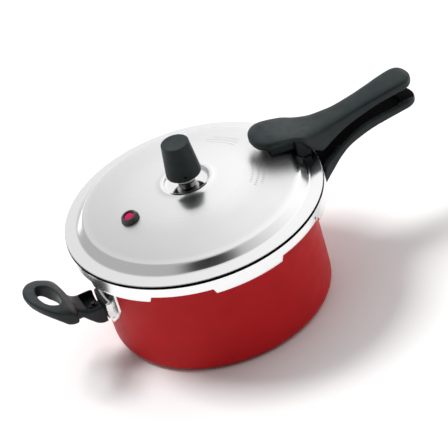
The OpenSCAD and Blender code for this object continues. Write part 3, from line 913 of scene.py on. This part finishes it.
@dataclass
class PanHandle:
    """The pan's long handle, which follows the lid's handle with a gap between them."""

    start: float = 104.6
    end: float = 227.9
    strap_tilt: float = 22.0
    screw_along: float = 33.0
    trough_start: float = 138.0
    trough_end: float = 214.0
    trough_depth: float = 3.6
    lip_width: float = 2.6
    shade_paint_start: float = 112.0
    shade_paint_margin: float = 4.5
    shade_paint_up: float = 0.45  # least upward share of a face's normal that takes the painted shade

    def build(self) -> None:
        """Lofts the bar from its flared root, and cuts the wall, counterbore and trough from it."""
        x = stations(self.start, self.end, 140)
        w = hermite(x, [104, 109, 114, 120, 128, 136, 146, 158, 176, 196, 214, 229],
                    [29.0, 27.2, 24.6, 21.8, 18.9, 17.2, 15.4, 13.9, 13.2, 14.4, 15.2, 15.2])
        high = hermite(x, [104, 120.6, 122.4, 136, 149, 170, 188, 206, 218, 229],
                       [94.8, 94.9, 99.0, 105.4, 110.6, 117.2, 119.6, 120.8, 121.3, 121.3])
        low = hermite(x, [104, 112, 122, 131, 139, 151, 173, 195, 209, 229],
                      [77.0, 78.5, 82.0, 88.0, 94.4, 101.2, 107.0, 110.6, 112.2, 114.0])
        # the root stays open, so both end laws begin inside the pan's wall
        plan = end_law(x, self.start - 8, self.end, 4.0, 13.0)
        side = end_law(x, self.start - 8, self.end, 4.0, 6.0)
        low, high = tapered(low, high, side)
        body = loft(x, w * plan, low, high, 5.0, 0.3, 104)
        xt = stations(self.trough_start, self.trough_end, 90)
        lip = hermite(xt, x, high)
        ends = end_law(xt, self.trough_start, self.trough_end, 8.0, 10.0)
        trough = loft(xt, (hermite(xt, x, w) - self.lip_width) * ends, lip - self.trough_depth,
                      lip + 8.0, 7.0)
        wall = rod(WALL_CUT_R, 60.0, 96.4, 180)
        tilt = Matrix.Rotation(-math.radians(self.strap_tilt), 4, "Y")
        along = Matrix.Translation((self.screw_along, 0, 0))
        bore = placed(rod(SCREW_BORE_R, -24.0, -4.6),
                      Matrix.Translation((105, 0, 86)) @ tilt @ along)
        obj = moulded("pan_long_handle", [body], [wall, bore, trough], 0.7)
        # the grip's upper faces inside its rim take finish 1: near-black painted shade for the
        # shadow that the lid's handle casts into the gap
        faces = obj.data.polygons
        normal, centre = np.empty(len(faces) * 3), np.empty(len(faces) * 3)
        faces.foreach_get("normal", normal)
        faces.foreach_get("center", centre)
        inside_rim = np.abs(centre[1::3]) / MM < hermite(centre[0::3] / MM, x, w) - self.shade_paint_margin
        top = (normal[2::3] > self.shade_paint_up) & (centre[0::3] > self.shade_paint_start * MM) & inside_rim
        faces.foreach_set("material_index", top.astype(np.int32))
        settle(obj, Body.PAN, [BLACK, PAINTED_SHADE_BLACK], "pan_handle")


@dataclass
class HelperHandle:
    """The short handle opposite: a hollow housing, a neck and a flat loop with a finger hole."""

    inner: float = 111.2
    end: float = 173.9
    hole_x: float = 153.0
    hole_half_x: float = 9.3
    hole_half_y: float = 17.4
    bore_x: float = 117.0
    bore_r: float = 4.5

    def finger_hole(self) -> Surface:
        """A slot along Z: x = c^0.8 and y = s^0.9 of the circle's cosine and sine, wider above.

        Returns:
            The surface.
        """
        t = np.linspace(0, 2 * np.pi, 72, endpoint=False)[None]
        z = np.array([55.0, 75.0, 84.0, 90.0, 96.0, 110.0])[:, None]
        grow = np.array([1.0, 1.0, 1.0, 1.0, 1.02, 1.06])[:, None]
        xs = self.hole_x + grow * self.hole_half_x * np.sign(np.cos(t)) * np.abs(np.cos(t)) ** 0.8
        ys = grow * self.hole_half_y * np.sign(np.sin(t)) * np.abs(np.sin(t)) ** 0.9
        pts, faces = capped(np.stack(np.broadcast_arrays(xs, ys, z), -1), False)
        return pts, faces, np.zeros(len(faces), int)

    def build(self) -> None:
        """Lofts the loop, neck and housing, and cuts the hole, the hollow and the counterbore."""
        x = stations(135.0, self.end, 90)
        w = hermite(x, [135, 138, 141, 145, 153, 161, 168, 175],
                    [29.0, 30.4, 31.0, 31.4, 30.8, 26.4, 19.4, 14.0])
        high = hermite(x, [135, 138, 143, 158, 175], [74.0, 77.0, 82.2, 90.6, 98.6])
        low = hermite(x, [135, 142, 145, 149, 153, 161, 168, 175],
                      [66.6, 66.6, 67.4, 69.6, 74.4, 81.8, 86.8, 91.4])
        plan = end_law(x, 135.0, self.end, 5.0, 9.0)
        low, high = tapered(low, high, end_law(x, 130.0, self.end, 4.0, 4.0))
        loop = loft(x, w * plan, low, high, 7.0, 0.0, 120)
        xn = stations(126.0, 152.0, 50)
        low_n = hermite(xn, [126, 131, 135, 139, 144, 152], [56.4, 58.4, 58.0, 60.2, 66.0, 76.0])
        high_n = hermite(xn, [126, 131, 137, 143, 152], [64.5, 66.8, 74.6, 81.6, 86.6])
        neck = loft(xn, hermite(xn, [126, 131, 152], [15.2, 15.0, 15.4]),
                    low_n, high_n, 6.0, 0.0, 96)
        xb = stations(self.inner, 131.0, 60)
        low_b = hermite(xb, [105, 111, 115, 120, 125, 131], [43.0, 43.2, 43.4, 45.4, 50.6, 57.6])
        high_b = hermite(xb, [105, 109, 114.5, 120, 126, 131], [56.0, 61.0, 64.0, 64.2, 64.4, 66.2])
        house = loft(xb, hermite(xb, [105, 111, 120, 131], [17.4, 17.0, 16.8, 15.0]),
                     low_b, high_b, 6.0, 0.0, 104)
        hollow = block((104.0, -13.6, 53.8), (125.6, 13.6, 75.0), 9.0)
        tab_room = block((104.0, -8.4, 50.7), (124.4, 8.4, 54.6), 12.0)
        wall = rod(WALL_CUT_R, 30.0, 90.0, 180)
        bore = placed(rod(self.bore_r, 36.0, 44.8), Matrix.Translation((self.bore_x, 0, 0)))
        turn = Matrix.Rotation(math.pi, 4, "Z")
        solids = [placed(s, turn) for s in (loop, neck, house)]
        cuts = [placed(s, turn) for s in (self.finger_hole(), hollow, tab_room, bore, wall)]
        obj = moulded("helper_loop_handle", solids, cuts, 0.6)
        settle(obj, Body.PAN, [BLACK], "helper_handle")


@dataclass
class Weight:
    """The black weight cap: a tapered moulding with a rounded lower edge and a small side hole."""

    low_z: float = 145.2
    high_z: float = 178.6
    low_r: float = 16.0
    top_r: float = 12.7
    bore_r: float = 10.05
    bore_top: float = 172.1
    hole_bearing: float = -103.6
    hole_z: float = 149.6
    hole_r: float = 1.55
    hole_depth: float = 2.2
    steps: int = 300

    def build(self) -> None:
        """Turns the cap, and pushes a small pit into its side."""
        line = rounded([(self.bore_r, 147.2, 0), (13.4, 146.6, 0.8), (14.2, self.low_z, 0.5),
                        (self.low_r, self.low_z, 1.8), (self.low_r, 148.0, 2.0),
                        (self.top_r + 0.15, self.high_z - 0.9, 0), (self.top_r, self.high_z, 1.1),
                        (self.top_r - 2.2, self.high_z, 0), (6.0, self.high_z - 0.25, 0),
                        (0.0, self.high_z - 0.3, 0)], 8, 0.55)
        line = np.vstack([line, [[0.0, self.bore_top], [self.bore_r, self.bore_top]]])
        b = np.arange(self.steps) * 360.0 / self.steps
        r, z = around(line, self.steps)
        side = (r > 12.0) & (z > 146.0)
        across = np.radians(b[None] - (self.hole_bearing + 360.0)) * r
        pit = smoothstep((self.hole_r - np.hypot(across, z - self.hole_z)) / 0.7)
        r = np.where(side, r - self.hole_depth * pit, r)
        obj = make_object("weight_cap_moulding", [lathe(r, z, b)])
        shade(obj, 45)
        settle(obj, Body.WEIGHT, [BLACK], "weight_cap")


@dataclass
class Indicator:
    """The pressure indicator: a dark collar and the red cap in its window."""

    radius: float = 62.5
    bearing: float = -170.0
    window_r: float = 5.0
    stem_r: float = 2.6

    def frame(self) -> Matrix:
        """The indicator's own frame.

        Returns:
            The matrix: Z square to the dome, zero on the dome's surface.
        """
        tilt = math.atan(2 * DOME_FALL * self.radius)
        out = Matrix.Translation((self.radius, 0, float(dome_z(self.radius))))
        turn = Matrix.Rotation(math.radians(self.bearing), 4, "Z")
        return turn @ out @ Matrix.Rotation(tilt, 4, "Y")

    def build(self) -> None:
        """Turns the collar and the cap in the indicator's own frame."""
        collar = rounded([(self.stem_r, -6.8, 0), (6.05, -6.8, 0.3), (6.05, 0.5, 0),
                          (8.1, 0.35, 0.3), (8.5, 0.9, 0.4), (8.5, 1.5, 0.3), (7.9, 1.75, 0.25),
                          (8.0, 2.2, 0.4),
                          (7.2, 4.5, 1.4), (5.6, 5.0, 0.35), (self.window_r, 4.6, 0.2),
                          (self.window_r, 1.05, 0.2), (self.stem_r, 1.05, 0)], 6, 1.0)
        obj = make_object("indicator_collar_moulding", [placed(turned(collar, 96), self.frame())])
        shade(obj, 40)
        settle(obj, Body.LID, [COLLAR], "indicator_collar")
        cap = rounded([(0, 1.4, 0), (4.5, 1.4, 0.3), (4.6, 3.6, 0.6),
                       (2.4, 3.95, 2.0), (0, 4.0, 0)], 6, 0.8)
        obj = make_object("indicator_cap_moulding", [placed(turned(cap, 72), self.frame())])
        shade(obj, 40)
        settle(obj, Body.INDICATOR, [INDICATOR_RED], "indicator_cap")


@dataclass
class Gasket:
    """The lip seal between the pan's rim and the lid."""

    inner: float = 103.2
    outer: float = 116.3
    low_z: float = 105.35
    high_z: float = 110.6

    def build(self) -> None:
        """Turns the seal's C-shaped section with rounded lips."""
        lip = self.inner + 1.2
        line = rounded([(self.inner, 106.0, 0), (self.inner, self.low_z, 0.5),
                        (self.outer, self.low_z, 1.4), (self.outer, self.high_z, 1.4),
                        (lip, self.high_z, 0.6), (lip, 109.3, 0.5), (112.6, 109.2, 0.8),
                        (113.2, 108.0, 1.0), (112.6, 106.9, 0.8), (self.inner, 106.8, 0.4),
                        (self.inner, 106.0, 0)], 5, 3.0)
        obj = make_object("gasket_ring", [turned(line[:-1], 240)])
        shade(obj, 50)
        settle(obj, Body.GASKET, [RUBBER], "gasket")


@dataclass
class HelperPlate:
    """The shield-shaped bracket plate behind the helper handle, with its pad and its tab."""

    radius: float = 104.05
    thick: float = 1.5
    pad_r: float = 110.6
    low_z: float = 32.4
    high_z: float = 85.6
    rows: int = 60
    cols: int = 90

    def build(self) -> None:
        """Bends the shield round the pan, swells its middle into the pad, and adds the screw's tab.

        The shield runs across by y = u times the half-width at each height, at
        x = -sqrt(r^2 - y^2).
        """
        z = np.linspace(self.low_z, self.high_z, self.rows)
        half = hermite(z, [self.low_z, 34.5, 55.0, 57.5, 83.0, self.high_z],
                       [4.2, 7.4, 27.0, 27.9, 28.0, 27.0])
        u = np.sin(np.linspace(-np.pi / 2, np.pi / 2, self.cols))
        y = half[:, None] * u[None]
        zz = np.broadcast_to(z[:, None], y.shape)
        pad = window(y, 0.0, 16.0, 1.8) * window(zz, 53.4, 8.4, 2.0)
        edge = np.minimum(1 - np.abs(u)[None], np.minimum(zz - self.low_z, self.high_z - zz) / 28.0)
        swell = (self.pad_r - self.radius - self.thick) * pad
        outer_r = self.radius + self.thick * np.clip(0.45 + edge * 22, 0, 1) + swell
        outer = np.stack([-np.sqrt(outer_r**2 - y**2), y, zz], -1)
        inner = np.stack([-np.sqrt(self.radius**2 - y**2), y, zz], -1)
        pts, faces = capped(np.concatenate([outer, inner[:, ::-1]], 1), False)
        # the pad under the housing and the tab are painted near-black: painted shade in the
        # housing's hollow
        painted_shade_pad = (pad > 0.5) & (np.abs(y) < 14.2)
        paint = np.pad(np.concatenate([painted_shade_pad, 0 * painted_shade_pad], 1), ((1, 1), (0, 0)))[:-1]
        shell = (pts, faces, paint.astype(int).reshape(-1))
        tab = block((-124.0, -8.0, 51.0), (-105.0, 8.0, 53.5), 9.0)
        # the tab takes finish 1 too: the near-black painted shade
        tab = (tab[0], tab[1], tab[2] + 1)
        obj = make_object("helper_bracket_plate", [shell, tab])
        shade(obj, 35)
        settle(obj, Body.PAN, [ALUMINIUM_PLAIN, BLACK_STEEL_AND_SHADE], "helper_bracket")


class SmallParts:
    """Finishes for the frame nodes whose shape stays: fasteners, brackets, vent, stem."""

    KINDS: dict[str, Finish] = {
        "pan_handle_bracket": BLACK_STEEL_AND_SHADE, "pan_handle_rivets": ALUMINIUM_PLAIN,
        "pan_handle_screw": STEEL, "pan_handle_washer": STEEL, "pan_handle_nut": STEEL,
        "helper_rivets": BLACK_STEEL_AND_SHADE, "helper_screw": BLACK_STEEL_AND_SHADE, "helper_nut": BLACK_STEEL_AND_SHADE,
        "lid_handle_bracket": BLACK_STEEL_AND_SHADE, "lid_handle_rivets": BLACK_STEEL_AND_SHADE,
        "lid_handle_screw": STEEL, "lid_handle_washer": STEEL, "lid_handle_nut": BLACK_STEEL_AND_SHADE,
        "stop_rivet": STEEL, "vent_tube": PLATED_BRASS, "vent_seal": RUBBER, "vent_nut": BRASS,
        "indicator_washer": SILICONE, "indicator_nut": STEEL, "indicator_stem": STEEL,
        "indicator_seal": SILICONE, "indicator_clip": STEEL,
        "weight_slug": WEIGHT_METAL, "weight_needle": BRASS, "weight_clip": STEEL,
    }

    def build(self) -> None:
        """Gives each node its finish."""
        for node, kind in self.KINDS.items():
            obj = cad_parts[node]
            obj.data.materials.clear()
            obj.data.materials.append(finish(kind))
            LOG.info("%s: %s", node, kind.name)


@dataclass
class Studio:
    """The camera, the surroundings, the soft light and the pale floor."""

    lens: float = 197.1
    sensor: float = 36.0
    place: Point = (-0.4259, -1.7604, 1.3618)
    ahead: Point = (0.20086, 0.79087, -0.57808)
    right: Point = (0.88358, -0.40108, -0.24171)
    dark_side: Point = (-0.25, -0.89, 0.38)
    bright_side: Point = (0.80, 0.45, 0.40)
    low_level: float = 0.47
    high_level: float = 1.12
    dark_level: float = 0.03
    light_place: Point = (-0.9, 1.0, 2.3)
    light_aim: Point = (0.0, 0.0, 0.05)
    light_size: float = 0.9
    light_watts: float = 54.0
    floor_half: float = 6.0
    floor_z: float = -0.0005

    def camera(self) -> None:
        """Places the camera from its position and two directions, rolled by 17 degrees."""
        data = bpy.data.cameras.new("camera")
        data.lens, data.sensor_width = self.lens, self.sensor
        data.clip_end = 50.0
        cam = bpy.data.objects.new("camera", data)
        bpy.context.scene.collection.objects.link(cam)
        ahead, right = Vector(self.ahead).normalized(), Vector(self.right).normalized()
        up = right.cross(ahead)
        turn = Matrix((right, up, -ahead)).transposed()
        cam.matrix_world = Matrix.Translation(self.place) @ turn.to_4x4()
        bpy.context.scene.camera = cam

    def light(self) -> None:
        """Hangs one soft light, and keeps its mirror image off the polished sheet."""
        data = bpy.data.lights.new("key", "AREA")
        data.shape, data.size, data.size_y = "RECTANGLE", self.light_size, self.light_size
        data.energy = self.light_watts
        obj = bpy.data.objects.new("key", data)
        obj.location = self.light_place
        away = Vector(self.light_aim) - Vector(self.light_place)
        obj.rotation_euler = away.to_track_quat("-Z", "Y").to_euler()
        obj.visible_glossy = False
        bpy.context.scene.collection.objects.link(obj)

    def world(self) -> None:
        """A pale surround, brighter to one side, with a dark patch behind the camera."""
        world = bpy.data.worlds.new("studio")
        world.use_nodes = True
        tree = world.node_tree
        back = tree.nodes["Background"]
        place = tree.nodes.new("ShaderNodeTexCoord")
        ramp = tree.nodes.new("ShaderNodeValToRGB")
        for stop, at, level in zip(ramp.color_ramp.elements, (0.75, 0.82), (1.0, self.dark_level)):
            stop.position, stop.color = at, (*grey(level), 1)
        strength = tree.nodes.new("ShaderNodeMapRange")
        keys = ("From Min", "From Max", "To Min", "To Max")
        for key, value in zip(keys, (0.15, 0.92, self.low_level, self.high_level)):
            strength.inputs[key].default_value = value
        for side, target in ((self.dark_side, ramp.inputs[0]),
                             (self.bright_side, strength.inputs["Value"])):
            dot = tree.nodes.new("ShaderNodeVectorMath")
            dot.operation = "DOT_PRODUCT"
            dot.inputs[1].default_value = side
            tree.links.new(place.outputs["Generated"], dot.inputs[0])
            tree.links.new(dot.outputs["Value"], target)
        tree.links.new(strength.outputs["Result"], back.inputs[1])
        tree.links.new(ramp.outputs[0], back.inputs[0])
        bpy.context.scene.world = world

    def floor(self) -> None:
        """Lays the floor just under the pan."""
        half = self.floor_half
        data = bpy.data.meshes.new("floor")
        signs = ((-1, -1), (1, -1), (1, 1), (-1, 1))
        corners = [(x * half, y * half, self.floor_z) for x, y in signs]
        data.from_pydata(corners, [], [(0, 1, 2, 3)])
        floor = bpy.data.objects.new("floor", data)
        bpy.context.scene.collection.objects.link(floor)
        data.materials.append(FLOOR.material())

    def build(self) -> None:
        """Sets the camera, the world, the light and the floor."""
        self.camera()
        bpy.context.scene.view_settings.view_transform = "Standard"
        self.world()
        self.light()
        self.floor()


def main() -> None:
    """Builds every sub-assembly in order."""
    logging.basicConfig(level=logging.INFO, format="%(message)s")
    for part in (Pan(), HelperPlate(), PanHandle(), HelperHandle(), Gasket(), Lid(), LidHandle(),
                 Weight(), Indicator(), SmallParts(), Studio()):
        part.build()
    bpy.context.view_layer.update()


if __name__ == "__main__":
    main()
